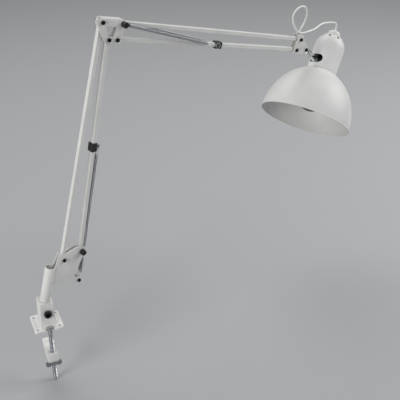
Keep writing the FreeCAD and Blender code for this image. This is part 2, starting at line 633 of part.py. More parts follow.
for i in range(VENT_COUNT):
    a = math.radians(360.0 / VENT_COUNT * (i + 0.5))
    c = Vector(math.cos(a), math.sin(a), 0)
    inner_point = c * 12.0 + Vector(0, 0, VENT_Z - 8.0)
    neck = neck.cut(Part.makeCylinder(VENT_R, 22, inner_point, c * 0.8 + Vector(0, 0, 0.6)))
write("shade_neck", [neck.removeSplitter()], SHADE)

# Cap on top of the neck, screwed to the hollow stem that carries the lamp holder.
cap_line = [
    (CAP_R + 0.4, SHOULDER_TOP), (CAP_R, SHOULDER_TOP + 5.0), (CAP_R - 1.6, SHOULDER_TOP + 8.6),
    (CAP_R - 5.4, CAP_TOP - 1.4), (3.4, CAP_TOP), (2.2, CAP_TOP), (2.2, CAP_TOP - 4.0),
    (4.0, CAP_TOP - 4.0), (4.0, SHOULDER_TOP),
]
write("neck_cap", [turned(cap_line)], SHADE)
STEM_FOOT = HOLDER_TOP - 6.0
write("holder_stem", [ring(4.0, 3.0, STEM_FOOT, CAP_TOP - 4.0)], SHADE)

# Lamp holder: a two-step shell with the neck bracket clamped round it.
CLAMP_Z0 = PIVOT_S - 1.1
CLAMP_Z1 = PIVOT_S + 1.1
holder = turned([
    (BULB_CAP_R + 0.6, HOLDER_LOW), (HOLDER_R + 1.6, HOLDER_LOW), (HOLDER_R + 1.6, CLAMP_Z0),
    (HOLDER_R, CLAMP_Z0), (HOLDER_R, HOLDER_TOP - 8), (HOLDER_R - 4.5, HOLDER_TOP), (4.0, HOLDER_TOP),
    (4.0, STEM_FOOT), (10.0, STEM_FOOT - 6), (BULB_CAP_R + 0.6, STEM_FOOT - 10),
])
write("lamp_holder", [holder], SHADE)
neck_ring = ring(HOLDER_R + 3.4, HOLDER_R, CLAMP_Z0, CLAMP_Z1)
lug = box(HOLDER_R + 1.5, PIVOT_R, -3.6, 3.6, CLAMP_Z0, CLAMP_Z1)
boss_half = LINK_GAP / 2 - SIDE_GAP
lug = lug.fuse(rod(3.6, (PIVOT_R, 0, PIVOT_S - boss_half), (PIVOT_R, 0, PIVOT_S + boss_half)))
neck_ring = neck_ring.fuse(lug.cut(rod(HOLDER_R + 0.2, (0, 0, 0), (0, 0, 200))))
cross = box(HOLDER_R + 2.2, HOLDER_R + 5.0, -12.5, 12.5, CLAMP_Z0, CLAMP_Z1)
wall_in = Part.makeCylinder(NECK_R - SKIN - 0.6, 300)
neck_ring = neck_ring.fuse(cross.common(wall_in))
for side in (-1, 1):
    ear = box(-2.5, 2.5, HOLDER_R + 3.0, NECK_R, CLAMP_Z0, CLAMP_Z1)
    ear.Placement = Placement(Vector(0, 0, 0), Rotation(Vector(0, 0, 1), 90 + side * 60))
    neck_ring = neck_ring.fuse(ear.common(wall_in))
neck_ring = neck_ring.cut(rod(LINK_PIN_R + RUN_GAP, (PIVOT_R, 0, 0), (PIVOT_R, 0, 200)))
write("neck_bracket", [neck_ring.removeSplitter()], SHADE)
collar = ring(HOLDER_R + 1.6, HOLDER_R, CLAMP_Z1, CLAMP_Z1 + 3.0)
write("holder_ring", [collar], SHADE)

# Bulb: a round glass envelope on a screw cap.
glass_profile = []
for i in range(13):
    angle = math.radians(-90 + 122.0 * i / 12)
    glass_profile.append((BULB_R * math.cos(angle), BULB_MID + BULB_R * math.sin(angle)))
glass_profile[0] = (0.0, BULB_TIP)
glass_profile += [(19.6, 80.0), (16.0, 87.0), (BULB_CAP_R, 93.0), (BULB_CAP_R, 96.0)]
GLASS_TOP = 96.0
glass_inner = [(max(r - 0.9, 0.0), z + (0.9 if z <= BULB_MID else 0.0)) for r, z in glass_profile]
glass = spin([
    spline_edge(glass_profile), line_edge(glass_profile[-1], glass_inner[-1]),
    spline_edge(glass_inner), line_edge(glass_inner[0], glass_profile[0]),
])
write("bulb_glass", [glass], SHADE)
bulb_cap = turned([
    (0, GLASS_TOP + 0.2), (BULB_CAP_R, GLASS_TOP + 0.2), (BULB_CAP_R, GLASS_TOP + 20), (9.0, GLASS_TOP + 24),
    (4.5, GLASS_TOP + 25), (4.0, GLASS_TOP + 26.5), (0, GLASS_TOP + 26.5),
])
write("bulb_cap", [bulb_cap], SHADE)


# Cord: one limp lead from the head bracket, once round a loop, and over to the cap.
def tangent_route(points):
    route = []
    previous = points[0]
    radii = []
    for i in range(1, len(points) - 1):
        a, b, c = points[i - 1], points[i], points[i + 1]
        u = (a - b).normalize()
        w = (c - b).normalize()
        half_turn = (math.pi - u.getAngle(w)) / 2
        reach = 0.45 * min((a - b).Length, (c - b).Length)
        radius = reach / math.tan(half_turn)
        radii.append(radius)
        start = b + u * reach
        end = b + w * reach
        middle = (u + w).normalize()
        centre = b + middle * (radius / math.cos(half_turn))
        top = centre - middle * radius
        route.append(("line", previous, start))
        route.append(("arc", start, top, end))
        previous = end
    route.append(("line", previous, points[-1]))
    return route, radii


def tube(route):
    edges = []
    for item in route:
        if item[0] == "line":
            edges.append(Part.LineSegment(item[1], item[2]).toShape())
        else:
            edges.append(Part.Arc(item[1], item[2], item[3]).toShape())
    path = Part.Wire(edges)
    first = route[0]
    section = Part.Wire([Part.makeCircle(CORD_D / 2, first[1], first[2] - first[1])])
    solid = path.makePipeShell([section], True, False)
    expected = math.pi * (CORD_D / 2) ** 2 * path.Length
    print("cord length", round(path.Length, 1), "volume ratio", round(solid.Volume / expected, 4))
    return solid


cap_end = ARM.inverse().multVec(SHADE.multVec(Vector(0, 0, CAP_TOP)))
cap_out = ARM.inverse().multVec(SHADE.multVec(Vector(0, 0, CAP_TOP + 16.0)))
CORD_POINTS = [
    Vector(GROMMET_X, 0, WEB[3] + 0.7), Vector(GROMMET_X, 0, 445.0), Vector(464.0, 4.6, 456.0),
    Vector(464.0, 3.0, 473.0), Vector(451.5, 1.0, 487.2), Vector(430.5, -1.0, 485.5), Vector(416.5, -3.0, 469.0),
    Vector(429.0, -5.0, 450.0), Vector(447.0, -5.6, 439.3), Vector(470.0, -3.0, 442.3), Vector(496.0, 2.0, 446.2),
    Vector(518.0, 8.0, 455.4), Vector(549.0, 12.6, 456.6), cap_out, cap_end,
]
route, radii = tangent_route(CORD_POINTS)
print("cord bend radii", [round(r, 1) for r in radii])
JOIN_A = 18
JOIN_B = 22


def middle_split(item):
    half_way = (item[1] + item[2]) * 0.5
    return ("line", item[1], half_way), ("line", half_way, item[2])


a_in, a_out = middle_split(route[JOIN_A])
b_in, b_out = middle_split(route[JOIN_B])
write("cord_loop", [tube(route[:JOIN_A] + [a_in])], ARM)
write("cord_bridge", [tube([a_out] + route[JOIN_A + 1:JOIN_B] + [b_in])], ARM)
write("cord_drop", [tube([b_out] + route[JOIN_B + 1:])], ARM)
print("rim centre", ARM.inverse().multVec(SHADE.multVec(Vector(0, 0, 0))))
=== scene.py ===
import math

import bmesh
import bpy
from mathutils import Matrix, Vector


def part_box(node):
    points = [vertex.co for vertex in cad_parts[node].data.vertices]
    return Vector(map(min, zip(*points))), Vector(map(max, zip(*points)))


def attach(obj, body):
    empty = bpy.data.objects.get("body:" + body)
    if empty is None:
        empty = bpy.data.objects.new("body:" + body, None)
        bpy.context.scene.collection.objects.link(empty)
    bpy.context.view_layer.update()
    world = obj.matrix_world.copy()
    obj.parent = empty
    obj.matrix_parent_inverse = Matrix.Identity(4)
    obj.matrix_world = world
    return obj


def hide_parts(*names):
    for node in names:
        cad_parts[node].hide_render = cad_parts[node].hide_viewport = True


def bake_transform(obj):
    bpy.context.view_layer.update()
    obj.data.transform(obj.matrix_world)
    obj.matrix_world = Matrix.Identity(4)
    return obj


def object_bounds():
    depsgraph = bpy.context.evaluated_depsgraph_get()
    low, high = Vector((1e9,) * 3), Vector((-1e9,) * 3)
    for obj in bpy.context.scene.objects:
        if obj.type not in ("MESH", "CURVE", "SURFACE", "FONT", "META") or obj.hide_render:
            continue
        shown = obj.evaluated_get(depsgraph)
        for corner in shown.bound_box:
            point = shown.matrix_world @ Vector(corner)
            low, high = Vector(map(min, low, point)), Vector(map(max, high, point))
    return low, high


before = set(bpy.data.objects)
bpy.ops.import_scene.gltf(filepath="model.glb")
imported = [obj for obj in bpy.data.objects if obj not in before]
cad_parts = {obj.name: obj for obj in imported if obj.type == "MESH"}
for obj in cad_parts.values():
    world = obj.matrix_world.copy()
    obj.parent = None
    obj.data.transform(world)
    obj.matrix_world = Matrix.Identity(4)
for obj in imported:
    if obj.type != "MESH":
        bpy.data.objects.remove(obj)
cad_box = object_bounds()

# ---------------------------------------------------------------- camera
# The lamp is seen from in front and to the left of its clamp, well above it, looking
# down on the whole arm. The long lens keeps the bars nearly parallel.
camera_data = bpy.data.cameras.new("studio_camera")
camera_data.sensor_width = 36.0
camera_data.lens = 72.26
camera_data.clip_end = 20.0
down_angle = 29.5
across_angle = 21.88
camera = bpy.data.objects.new("studio_camera", camera_data)
camera.location = (-0.15698, -1.06478, 0.82374)
camera.rotation_euler = (math.radians(90.0 - down_angle), 0.0, math.radians(-across_angle))
bpy.context.collection.objects.link(camera)
bpy.context.scene.camera = camera

# ---------------------------------------------------------------- cord
# A thin two-core lead in a smooth white PVC jacket. It comes up through the head
# bracket's bush, makes one loose loop and drops into the cap of the shade's neck.
# Its route is given in the arm's own frame, with x along the arm and z up the post.
# The post leans, and the arm is turned on it.
post_foot = (0.00317, 0.00105, 0.0538)
post_lean = math.radians(13.4)
arm_turn = math.radians(19.3)
arm_place = (
    Matrix.Translation(post_foot) @ Matrix.Rotation(post_lean, 4, "Y") @ Matrix.Rotation(arm_turn, 4, "Z")
)
cord_width = 0.0032
cord_route = [
    (0.4516, 0.0, 0.4382), (0.4516, 0.0, 0.4450), (0.4640, 0.0046, 0.4560), (0.4640, 0.0030, 0.4730),
    (0.4515, 0.0010, 0.4872), (0.4305, -0.0010, 0.4855), (0.4165, -0.0030, 0.4690),
    (0.4290, -0.0050, 0.4500), (0.4470, -0.0056, 0.4393), (0.4700, -0.0030, 0.4423),
    (0.4960, 0.0020, 0.4462), (0.5180, 0.0080, 0.4554), (0.5490, 0.0126, 0.4566),
    (0.58093, 0.0195, 0.45378), (0.57399, 0.01538, 0.43997),
]
route_curve = bpy.data.curves.new("cord_route", "CURVE")
route_curve.dimensions = "3D"
route_curve.resolution_u = 16
route_line = route_curve.splines.new("NURBS")
route_line.points.add(len(cord_route) - 1)
for point, place in zip(route_line.points, cord_route):
    point.co = (*(arm_place @ Vector(place)), 1.0)
route_line.order_u = 3
route_line.use_endpoint_u = True
route_object = bpy.data.objects.new("cord_route", route_curve)
bpy.context.collection.objects.link(route_object)
bpy.context.view_layer.update()
route_mesh = bpy.data.meshes.new_from_object(route_object)
cord_line = [vertex.co.copy() for vertex in route_mesh.vertices]
bpy.data.objects.remove(route_object)


def linear(code):
    """An sRGB hex colour as the linear values that a socket takes."""
    channels = [int(code[i:i + 2], 16) / 255.0 for i in (0, 2, 4)]
    return [c / 12.92 if c <= 0.04045 else ((c + 0.055) / 1.055) ** 2.4 for c in channels] + [1.0]


def add(material, kind, settings, links=()):
    """One node with its settings and the links that come into it."""
    tree = material.node_tree
    node = tree.nodes.new(kind)
    for name, value in settings.items():
        if name in node.inputs:
            node.inputs[name].default_value = value
        else:
            setattr(node, name, value)
    for source, output, target in links:
        tree.links.new(source.outputs[output], node.inputs[target])
    return node


# Plasticised PVC: even colour, soft sheen, and faint marks from the extruder 2 mm apart.
cord_pvc = bpy.data.materials.new("extruded_white_pvc")
cord_pvc.use_nodes = True
place = add(cord_pvc, "ShaderNodeTexCoord", {})
drag = add(cord_pvc, "ShaderNodeTexNoise", {"Scale": 420.0, "Detail": 3.0}, [(place, "Object", "Vector")])
tone = add(cord_pvc, "ShaderNodeValToRGB", {}, [(drag, "Fac", "Fac")])
tone.color_ramp.elements[0].color = linear("DADAD6")
tone.color_ramp.elements[1].color = linear("F0F0EC")
relief = add(cord_pvc, "ShaderNodeBump", {"Strength": 0.15, "Distance": 0.0001}, [(drag, "Fac", "Height")])
jacket = cord_pvc.node_tree.nodes["Principled BSDF"]
jacket.inputs["Roughness"].default_value = 0.38
jacket.inputs["IOR"].default_value = 1.53
cord_pvc.node_tree.links.new(tone.outputs["Color"], jacket.inputs["Base Color"])
cord_pvc.node_tree.links.new(relief.outputs["Normal"], jacket.inputs["Normal"])

# The lead is cut over the knuckle and over the fork, so that each part crosses one joint.
first_join = arm_place @ Vector((0.4830, -0.0005, 0.44425))
second_join = arm_place @ Vector((0.5340, 0.0107, 0.4556))
cut_a = min(range(len(cord_line)), key=lambda i: (cord_line[i] - first_join).length)
cut_b = min(range(len(cord_line)), key=lambda i: (cord_line[i] - second_join).length)
cord_parts = [
    ("cord_loop_lead", "cord_loop", "head", "knuckle", cord_line[:cut_a + 1]),
    ("cord_bridge_lead", "cord_bridge", "knuckle", "link", cord_line[cut_a:cut_b + 1]),
    ("cord_drop_lead", "cord_drop", "link", "shade", cord_line[cut_b:]),
]
for name, node, first_body, last_body, line in cord_parts:
    lead_curve = bpy.data.curves.new(name, "CURVE")
    lead_curve.dimensions = "3D"
    lead_curve.bevel_depth = cord_width / 2
    lead_curve.bevel_resolution = 4
    lead_curve.use_fill_caps = True
    lead_line = lead_curve.splines.new("POLY")
    lead_line.points.add(len(line) - 1)
    for point, spot in zip(lead_line.points, line):
        point.co = (*spot, 1.0)
    lead_object = bpy.data.objects.new(name, lead_curve)
    bpy.context.collection.objects.link(lead_object)
    bpy.context.view_layer.update()
    lead_mesh = bpy.data.meshes.new_from_object(lead_object)
    bpy.data.objects.remove(lead_object)
    lead = bpy.data.objects.new(name, lead_mesh)
    bpy.context.collection.objects.link(lead)
    lead_mesh.shade_smooth()
    lead_mesh.materials.clear()
    lead_mesh.materials.append(cord_pvc)
    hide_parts(node)
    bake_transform(lead)

# ---------------------------------------------------------------- studio
# A plain pale floor just under the clamp's rod. A large soft key light stands low on the
# left, a fill on the right and a weaker light high behind, in an even grey surround.
floor_gap = 0.001
floor_mesh = bpy.data.meshes.new("studio_floor")
floor_form = bmesh.new()
bmesh.ops.create_grid(floor_form, x_segments=1, y_segments=1, size=6.0)
bmesh.ops.translate(floor_form, verts=floor_form.verts, vec=(0.0, 0.0, cad_box[0][2] - floor_gap))
floor_form.to_mesh(floor_mesh)
floor_form.free()
floor = bpy.data.objects.new("studio_floor", floor_mesh)
bpy.context.collection.objects.link(floor)
floor_paper = bpy.data.materials.new("pale_backdrop_paper")
floor_paper.use_nodes = True
paper = floor_paper.node_tree.nodes["Principled BSDF"]
paper.inputs["Base Color"].default_value = linear("ABACAD")
paper.inputs["Roughness"].default_value = 0.9
floor_mesh.materials.append(floor_paper)
# Each light's place, width and power. All three face the middle of the lamp.
lit_middle = Vector((0.25, 0.06, 0.30))
for name, spot, size, power in (
    ("key_light", (-2.1, -1.2, 1.0), 1.3, 43.0),
    ("fill_light", (2.3, -0.1, 1.2), 1.3, 28.0),
    ("top_light", (0.2, 1.3, 2.2), 1.6, 22.0),
):
    lamp_data = bpy.data.lights.new(name, "AREA")
    lamp_data.size = size
    lamp_data.energy = power
    studio_lamp = bpy.data.objects.new(name, lamp_data)
    studio_lamp.location = spot
    studio_lamp.rotation_euler = (lit_middle - Vector(spot)).to_track_quat("-Z", "Y").to_euler()
    bpy.context.collection.objects.link(studio_lamp)
surround = bpy.data.worlds.new("studio_surround")
surround.use_nodes = True
surround.node_tree.nodes["Background"].inputs["Color"].default_value = linear("DCDEE0")
surround.node_tree.nodes["Background"].inputs["Strength"].default_value = 0.42
bpy.context.scene.world = surround
bpy.context.scene.view_settings.view_transform = "Standard"

# ---------------------------------------------------------------- painted metal
# Clamp casting, jaw, brackets and bars are cast, folded or drawn steel under one satin
# white powder coat. It has an orange peel about 1 mm across, and is a little thicker and
# duller in patches about 36 mm wide.
satin_white = bpy.data.materials.new("satin_white_powder_coat")
satin_white.use_nodes = True
place = add(satin_white, "ShaderNodeTexCoord", {})
patches = add(
    satin_white, "ShaderNodeTexNoise", {"Scale": 28.0, "Detail": 4.0}, [(place, "Object", "Vector")],
)
peel = add(satin_white, "ShaderNodeTexNoise", {"Scale": 900.0, "Detail": 2.0}, [(place, "Object", "Vector")])
tone = add(satin_white, "ShaderNodeValToRGB", {}, [(patches, "Fac", "Fac")])
tone.color_ramp.elements[0].position = 0.3
tone.color_ramp.elements[0].color = linear("D6D6D3")
tone.color_ramp.elements[1].position = 0.7
tone.color_ramp.elements[1].color = linear("E0E0DD")
sheen = add(satin_white, "ShaderNodeMapRange", {"To Min": 0.34, "To Max": 0.46}, [(patches, "Fac", "Value")])
relief = add(satin_white, "ShaderNodeBump", {"Strength": 0.12, "Distance": 0.0002}, [(peel, "Fac", "Height")])
coat = satin_white.node_tree.nodes["Principled BSDF"]
coat.inputs["IOR"].default_value = 1.5
satin_white.node_tree.links.new(tone.outputs["Color"], coat.inputs["Base Color"])
satin_white.node_tree.links.new(sheen.outputs["Result"], coat.inputs["Roughness"])
satin_white.node_tree.links.new(relief.outputs["Normal"], coat.inputs["Normal"])


def dress(node, material):
    """A CAD piece whose shape is right gets its finish."""
    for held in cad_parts[node].material_slots:
        held.material = material


# Corners on the castings and sheets are eased before they are coated. Triangles of one
# flat face are joined first, so that the bevel runs along real edges only.
weld_distance = 0.000002
flat_angle = math.radians(0.5)
corner_angle = math.radians(35.0)
crease_angle = math.radians(38.0)


def ease_edges(node, body, material, radius):
    """A copy of a CAD piece with its sharp edges eased, which stands in for that piece."""
    eased_form = bmesh.new()
    eased_form.from_mesh(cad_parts[node].data)
    bmesh.ops.remove_doubles(eased_form, verts=eased_form.verts, dist=weld_distance)
    bmesh.ops.dissolve_limit(
        eased_form, angle_limit=flat_angle, verts=eased_form.verts, edges=eased_form.edges,
    )
    corners = [edge for edge in eased_form.edges if edge.calc_face_angle(0.0) > corner_angle]
    bmesh.ops.bevel(
        eased_form, geom=corners, offset=radius, segments=2, profile=0.5, affect="EDGES", material=-1,
        clamp_overlap=True,
    )
    eased_mesh = bpy.data.meshes.new(node + "_eased")
    eased_form.to_mesh(eased_mesh)
    eased_form.free()
    eased_mesh.shade_smooth()
    eased_mesh.set_sharp_from_angle(angle=crease_angle)
    eased = bpy.data.objects.new(node + "_eased", eased_mesh)
    bpy.context.collection.objects.link(eased)
    eased_mesh.materials.clear()
    eased_mesh.materials.append(material)
    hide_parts(node)
    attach(eased, body)


casting_round = 0.0006
jaw_round = 0.0005
sheet_round = 0.0003
ease_edges("clamp_casting", "clamp", satin_white, casting_round)
ease_edges("clamp_jaw", "jaw", satin_white, jaw_round)
for bracket, body in (("base_bracket", "base"), ("elbow_bracket", "elbow"), ("head_bracket", "head")):
    ease_edges(bracket, body, satin_white, sheet_round)
for bar in ("lower_outer_bar", "lower_inner_bar", "upper_top_bar", "upper_bottom_bar"):
    dress(bar, satin_white)

# ---------------------------------------------------------------- bright fastenings
# Bolts, nuts, the lock screw, spring pegs, the pins in the post and in the shade's neck,
# and the lamp holder's stem and bracket are turned or pressed steel with a thin bright
# zinc plate. It is cloudy where it is thicker, in patches about 6 mm wide.
zinc_steel = bpy.data.materials.new("zinc_plated_steel")
zinc_steel.use_nodes = True
place = add(zinc_steel, "ShaderNodeTexCoord", {})
cloud = add(zinc_steel, "ShaderNodeTexNoise", {"Scale": 160.0, "Detail": 4.0}, [(place, "Object", "Vector")])
haze = add(zinc_steel, "ShaderNodeMapRange", {"To Min": 0.2, "To Max": 0.38}, [(cloud, "Fac", "Value")])
zinc = zinc_steel.node_tree.nodes["Principled BSDF"]
zinc.inputs["Metallic"].default_value = 1.0
zinc.inputs["Base Color"].default_value = linear("9FA2A6")
zinc_steel.node_tree.links.new(haze.outputs["Result"], zinc.inputs["Roughness"])
for node in (
    "clamp_nut", "lock_screw", "post_pin", "base_bolt", "base_nuts", "elbow_bolt", "elbow_nuts",
    "head_nuts", "lower_clip_peg", "upper_clip_pegs", "holder_stem", "swivel_pin", "neck_bracket",
):
    dress(node, zinc_steel)

# ---------------------------------------------------------------- clamp rod
# A steel rod with a rolled M8 thread along its whole length, under a round head that
# sits in a seat in the plate. Its crests stay inside the plain CAD rod, so they are a
# little under full height. It is bright, with a film of oil that dulls it in places.
thread_pitch = 0.00125
thread_crest = 0.0036
thread_root = 0.0029
crest_start = 0.42
crest_end = 0.58
plain_tip = 0.0008
rod_chamfer = 0.0005
thread_weld = 0.00001
thread_crease = math.radians(30.0)
square_edge = 1.2
rod_low, rod_high = (Vector(corner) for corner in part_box("clamp_rod"))
rod_middle = (rod_low + rod_high) / 2
head_height = 0.0035
head_radius = (rod_high.x - rod_low.x) / 2
oiled_thread = bpy.data.materials.new("oiled_rolled_thread")
oiled_thread.use_nodes = True
place = add(oiled_thread, "ShaderNodeTexCoord", {})
smudge = add(
    oiled_thread, "ShaderNodeTexNoise", {"Scale": 220.0, "Detail": 4.0}, [(place, "Object", "Vector")],
)
shine = add(oiled_thread, "ShaderNodeMapRange", {"To Min": 0.12, "To Max": 0.26}, [(smudge, "Fac", "Value")])
rolled = oiled_thread.node_tree.nodes["Principled BSDF"]
rolled.inputs["Metallic"].default_value = 1.0
rolled.inputs["Base Color"].default_value = linear("C6C8CB")
oiled_thread.node_tree.links.new(shine.outputs["Result"], rolled.inputs["Roughness"])
tooth_form = bmesh.new()
tooth = [
    tooth_form.verts.new((radius, 0.0, thread_pitch * share)) for radius, share in (
        (thread_root, 0.0), (thread_crest, crest_start), (thread_crest, crest_end), (thread_root, 1.0),
    )
]
for first, second in zip(tooth, tooth[1:]):
    tooth_form.edges.new((first, second))
tooth_mesh = bpy.data.meshes.new("thread_tooth")
tooth_form.to_mesh(tooth_mesh)
tooth_form.free()
tooth_object = bpy.data.objects.new("thread_tooth", tooth_mesh)
bpy.context.collection.objects.link(tooth_object)
rolling = tooth_object.modifiers.new("rolling", "SCREW")
rolling.axis = "Z"
rolling.screw_offset = thread_pitch
rolling.iterations = int((rod_high.z - head_height - rod_low.z - plain_tip) / thread_pitch) - 1
rolling.steps = 24
rolling.render_steps = 24
bpy.context.view_layer.update()
rolled_object = tooth_object.evaluated_get(bpy.context.evaluated_depsgraph_get())
thread_mesh = bpy.data.meshes.new_from_object(rolled_object)
bpy.data.objects.remove(tooth_object)
rod_form = bmesh.new()
rod_form.from_mesh(thread_mesh)
bmesh.ops.remove_doubles(rod_form, verts=rod_form.verts, dist=thread_weld)
bmesh.ops.translate(rod_form, verts=rod_form.verts, vec=(rod_middle.x, rod_middle.y, rod_low.z + plain_tip))
# The core runs up into the head, and the head closes the rod.
for low_z, high_z, wide in (
    (rod_low.z, rod_high.z - head_height / 2, thread_root),
    (rod_high.z - head_height, rod_high.z, head_radius),
):
    stub = bmesh.ops.create_cone(
        rod_form, cap_ends=True, segments=48, radius1=wide, radius2=wide, depth=high_z - low_z,
        matrix=Matrix.Translation((rod_middle.x, rod_middle.y, (low_z + high_z) / 2)),
    )
    stub_edges = {edge for vertex in stub["verts"] for edge in vertex.link_edges}
    ends = [edge for edge in rod_form.edges if edge in stub_edges and edge.calc_face_angle(0.0) > square_edge]
    bmesh.ops.bevel(
        rod_form, geom=ends, offset=rod_chamfer, segments=2, profile=0.5, affect="EDGES", material=-1,
        clamp_overlap=True,
    )
bmesh.ops.recalc_face_normals(rod_form, faces=rod_form.faces)
rod_mesh = bpy.data.meshes.new("clamp_rod_threaded")
rod_form.to_mesh(rod_mesh)
rod_form.free()
rod_mesh.shade_smooth()
rod_mesh.set_sharp_from_angle(angle=thread_crease)
threaded_rod = bpy.data.objects.new("clamp_rod_threaded", rod_mesh)
bpy.context.collection.objects.link(threaded_rod)
rod_mesh.materials.append(oiled_thread)
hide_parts("clamp_rod")
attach(threaded_rod, "clamp")

# ---------------------------------------------------------------- chromed joint
# The knuckle and the fork that carries the shade are steel, polished and then chromed,
# so they mirror the room with sharp highlights. Wiping leaves faint smears.
chrome_steel = bpy.data.materials.new("polished_chrome_plate")
chrome_steel.use_nodes = True
place = add(chrome_steel, "ShaderNodeTexCoord", {})
wipe = add(chrome_steel, "ShaderNodeTexNoise", {"Scale": 90.0, "Detail": 5.0}, [(place, "Object", "Vector")])
smear = add(chrome_steel, "ShaderNodeMapRange", {"To Min": 0.05, "To Max": 0.14}, [(wipe, "Fac", "Value")])
mirror = chrome_steel.node_tree.nodes["Principled BSDF"]
mirror.inputs["Metallic"].default_value = 1.0
mirror.inputs["Base Color"].default_value = linear("DADCDE")
chrome_steel.node_tree.links.new(smear.outputs["Result"], mirror.inputs["Roughness"])
for node in ("knuckle_eye", "shade_link"):
    dress(node, chrome_steel)

# ---------------------------------------------------------------- black mouldings
# Spring clips, the cord's bush and the knobs are moulded in matt black nylon. The mould
# gives them a spark-eroded grain, drawn 0.7 mm coarse so that it shows.
black_nylon = bpy.data.materials.new("moulded_black_nylon")
black_nylon.use_nodes = True
place = add(black_nylon, "ShaderNodeTexCoord", {})
grain = add(
    black_nylon, "ShaderNodeTexNoise", {"Scale": 1500.0, "Detail": 2.0}, [(place, "Object", "Vector")],
)
gloss = add(black_nylon, "ShaderNodeMapRange", {"To Min": 0.38, "To Max": 0.55}, [(grain, "Fac", "Value")])
relief = add(
    black_nylon, "ShaderNodeBump", {"Strength": 0.3, "Distance": 0.00005}, [(grain, "Fac", "Height")],
)
nylon = black_nylon.node_tree.nodes["Principled BSDF"]
nylon.inputs["Base Color"].default_value = linear("181818")
nylon.inputs["IOR"].default_value = 1.53
black_nylon.node_tree.links.new(gloss.outputs["Result"], nylon.inputs["Roughness"])
black_nylon.node_tree.links.new(relief.outputs["Normal"], nylon.inputs["Normal"])
for node in ("lower_spring_clip", "upper_spring_clip", "cord_grommet"):
    dress(node, black_nylon)

# ---------------------------------------------------------------- washers
# Thin washers part the bars from the brackets at every pivot. They are punched from
# natural nylon sheet, which looks milky and slightly waxy.
pale_nylon = bpy.data.materials.new("punched_natural_nylon")
pale_nylon.use_nodes = True
place = add(pale_nylon, "ShaderNodeTexCoord", {})
haze = add(pale_nylon, "ShaderNodeTexNoise", {"Scale": 500.0, "Detail": 2.0}, [(place, "Object", "Vector")])
wax = add(pale_nylon, "ShaderNodeMapRange", {"To Min": 0.4, "To Max": 0.5}, [(haze, "Fac", "Value")])
milky = pale_nylon.node_tree.nodes["Principled BSDF"]
milky.inputs["Base Color"].default_value = linear("CFCDC4")
milky.inputs["Subsurface Weight"].default_value = 0.1
pale_nylon.node_tree.links.new(wax.outputs["Result"], milky.inputs["Roughness"])
for node in ("base_washers", "elbow_washers", "head_washers"):
    dress(node, pale_nylon)

# ---------------------------------------------------------------- pivot screws
# Machine screws with flat round heads go through the brackets and the bars. They are
# turned steel in black oxide, a thin dark finish with a dull oily gleam.
black_oxide = bpy.data.materials.new("black_oxide_steel")
black_oxide.use_nodes = True
place = add(black_oxide, "ShaderNodeTexCoord", {})
oil = add(black_oxide, "ShaderNodeTexNoise", {"Scale": 300.0, "Detail": 3.0}, [(place, "Object", "Vector")])
gleam = add(black_oxide, "ShaderNodeMapRange", {"To Min": 0.25, "To Max": 0.45}, [(oil, "Fac", "Value")])
oxide = black_oxide.node_tree.nodes["Principled BSDF"]
oxide.inputs["Base Color"].default_value = linear("1E1E20")
oxide.inputs["Metallic"].default_value = 0.6
black_oxide.node_tree.links.new(gleam.outputs["Result"], oxide.inputs["Roughness"])
for node in ("base_screws", "elbow_screws", "head_screws"):
    dress(node, black_oxide)

